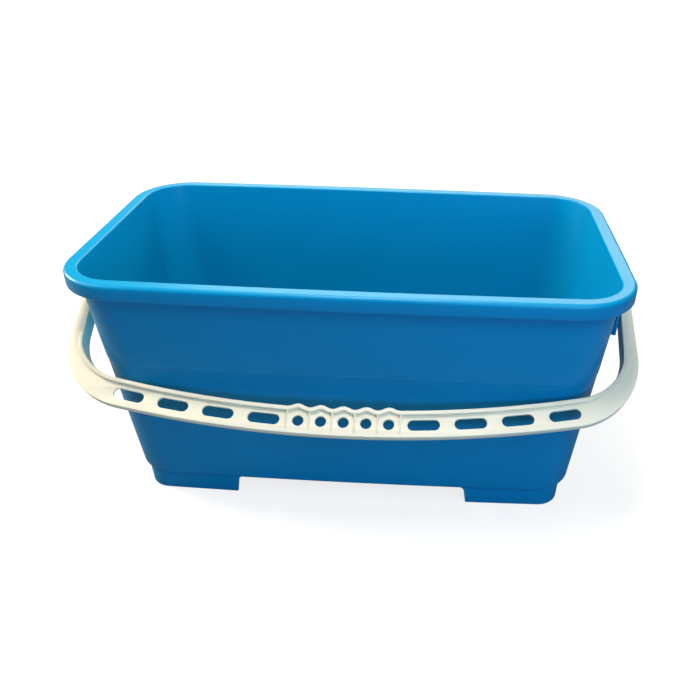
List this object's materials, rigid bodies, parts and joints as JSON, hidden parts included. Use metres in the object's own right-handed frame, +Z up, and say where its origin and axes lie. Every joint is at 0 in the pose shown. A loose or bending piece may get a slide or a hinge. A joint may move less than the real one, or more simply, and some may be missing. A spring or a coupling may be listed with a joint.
{
  "type": "bucket",
  "caption": "Rectangular moulded plastic bucket with a flanged rim, low end feet and a swinging carrying handle with a slotted, ribbed grip.",
  "frame": {"origin": "on the floor, under the middle of the bounding box of the bucket with its handle hanging down in front", "axes": "+X along the tub, +Z up, and the handle hangs on the -Y side"},
  "size_m": [0.5298, 0.2986, 0.2434],
  "materials": {
    "tub_blue": "semi-gloss moulded polypropylene",
    "handle_cream": "satin moulded polypropylene"
  },
  "bodies": {
    "tub": {"tub": "tub_blue"},
    "handle": {"handle": "handle_cream"}
  },
  "joints": [
    {"name": "handle_swing", "type": "hinge", "parent": "tub", "child": "handle", "pos_m": [0, 0.00903, 0.213], "axis": [-1, 0, 0], "range_deg": [0, 244]}
  ]
}
